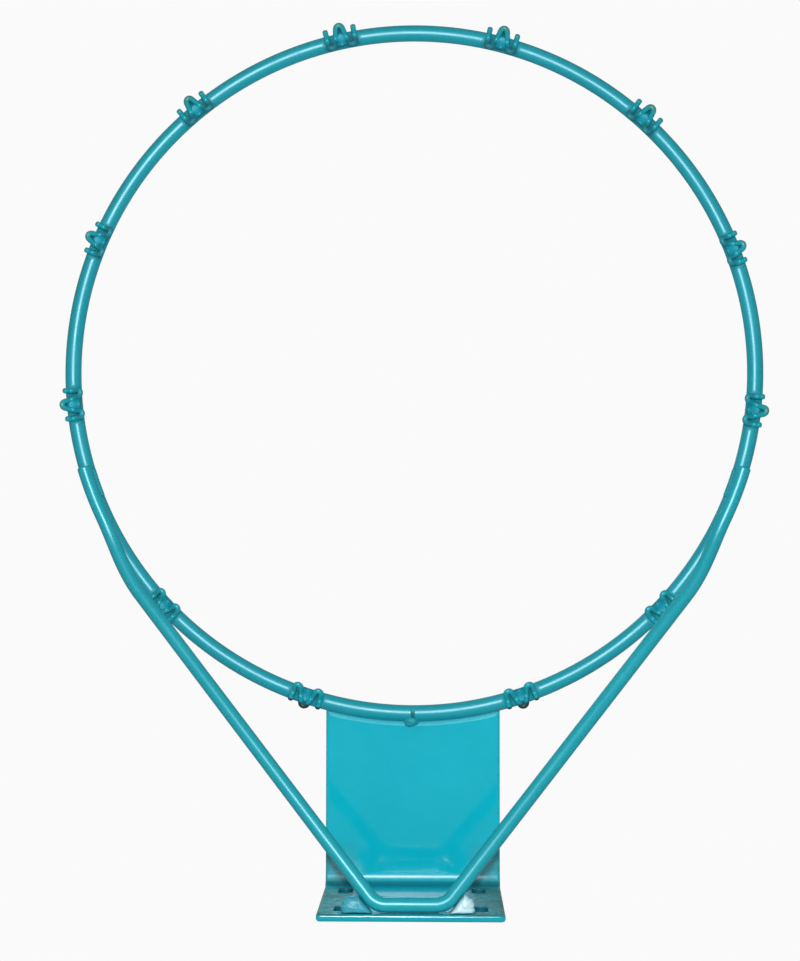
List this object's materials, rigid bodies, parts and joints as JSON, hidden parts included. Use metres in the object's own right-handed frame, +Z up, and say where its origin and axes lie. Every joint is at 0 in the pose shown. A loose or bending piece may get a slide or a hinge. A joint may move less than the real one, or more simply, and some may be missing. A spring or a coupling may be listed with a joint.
{
  "type": "pool basketball rim",
  "caption": "Fixed basketball rim for a poolside hoop: round-bar ring with wire net hooks, bent mounting plate and a brace rod below.",
  "frame": {"origin": "middle of the flat rear face of the mounting plate, where it meets the backboard", "axes": "+Z up, +Y into the backboard, +X to the right of someone who faces the backboard; the ring stands out along -Y"},
  "size_m": [0.482, 0.5952, 0.114],
  "materials": {
    "ring_paint": "gloss",
    "plate_paint": "gloss",
    "brace_paint": "gloss",
    "hook_paint": "gloss",
    "weld_paint": "gloss"
  },
  "bodies": {
    "root": {"rim_ring": "ring_paint", "mount_plate": "plate_paint", "brace_rod": "brace_paint", "ring_seam_weld": "weld_paint", "neck_weld_under": "weld_paint", "neck_weld_top": "weld_paint", "brace_weld_left": "weld_paint", "brace_weld_right": "weld_paint", "foot_weld_left": "weld_paint", "foot_weld_right": "weld_paint", "net_hook_01": "hook_paint", "net_hook_02": "hook_paint", "net_hook_03": "hook_paint", "net_hook_04": "hook_paint", "net_hook_05": "hook_paint", "net_hook_06": "hook_paint", "net_hook_07": "hook_paint", "net_hook_08": "hook_paint", "net_hook_09": "hook_paint", "net_hook_10": "hook_paint", "net_hook_11": "hook_paint", "net_hook_12": "hook_paint", "hook_tack_01": "weld_paint", "hook_tack_02": "weld_paint", "hook_tack_03": "weld_paint", "hook_tack_04": "weld_paint", "hook_tack_05": "weld_paint", "hook_tack_06": "weld_paint", "hook_tack_07": "weld_paint", "hook_tack_08": "weld_paint", "hook_tack_09": "weld_paint", "hook_tack_10": "weld_paint", "hook_tack_11": "weld_paint", "hook_tack_12": "weld_paint"}
  },
  "joints": []
}
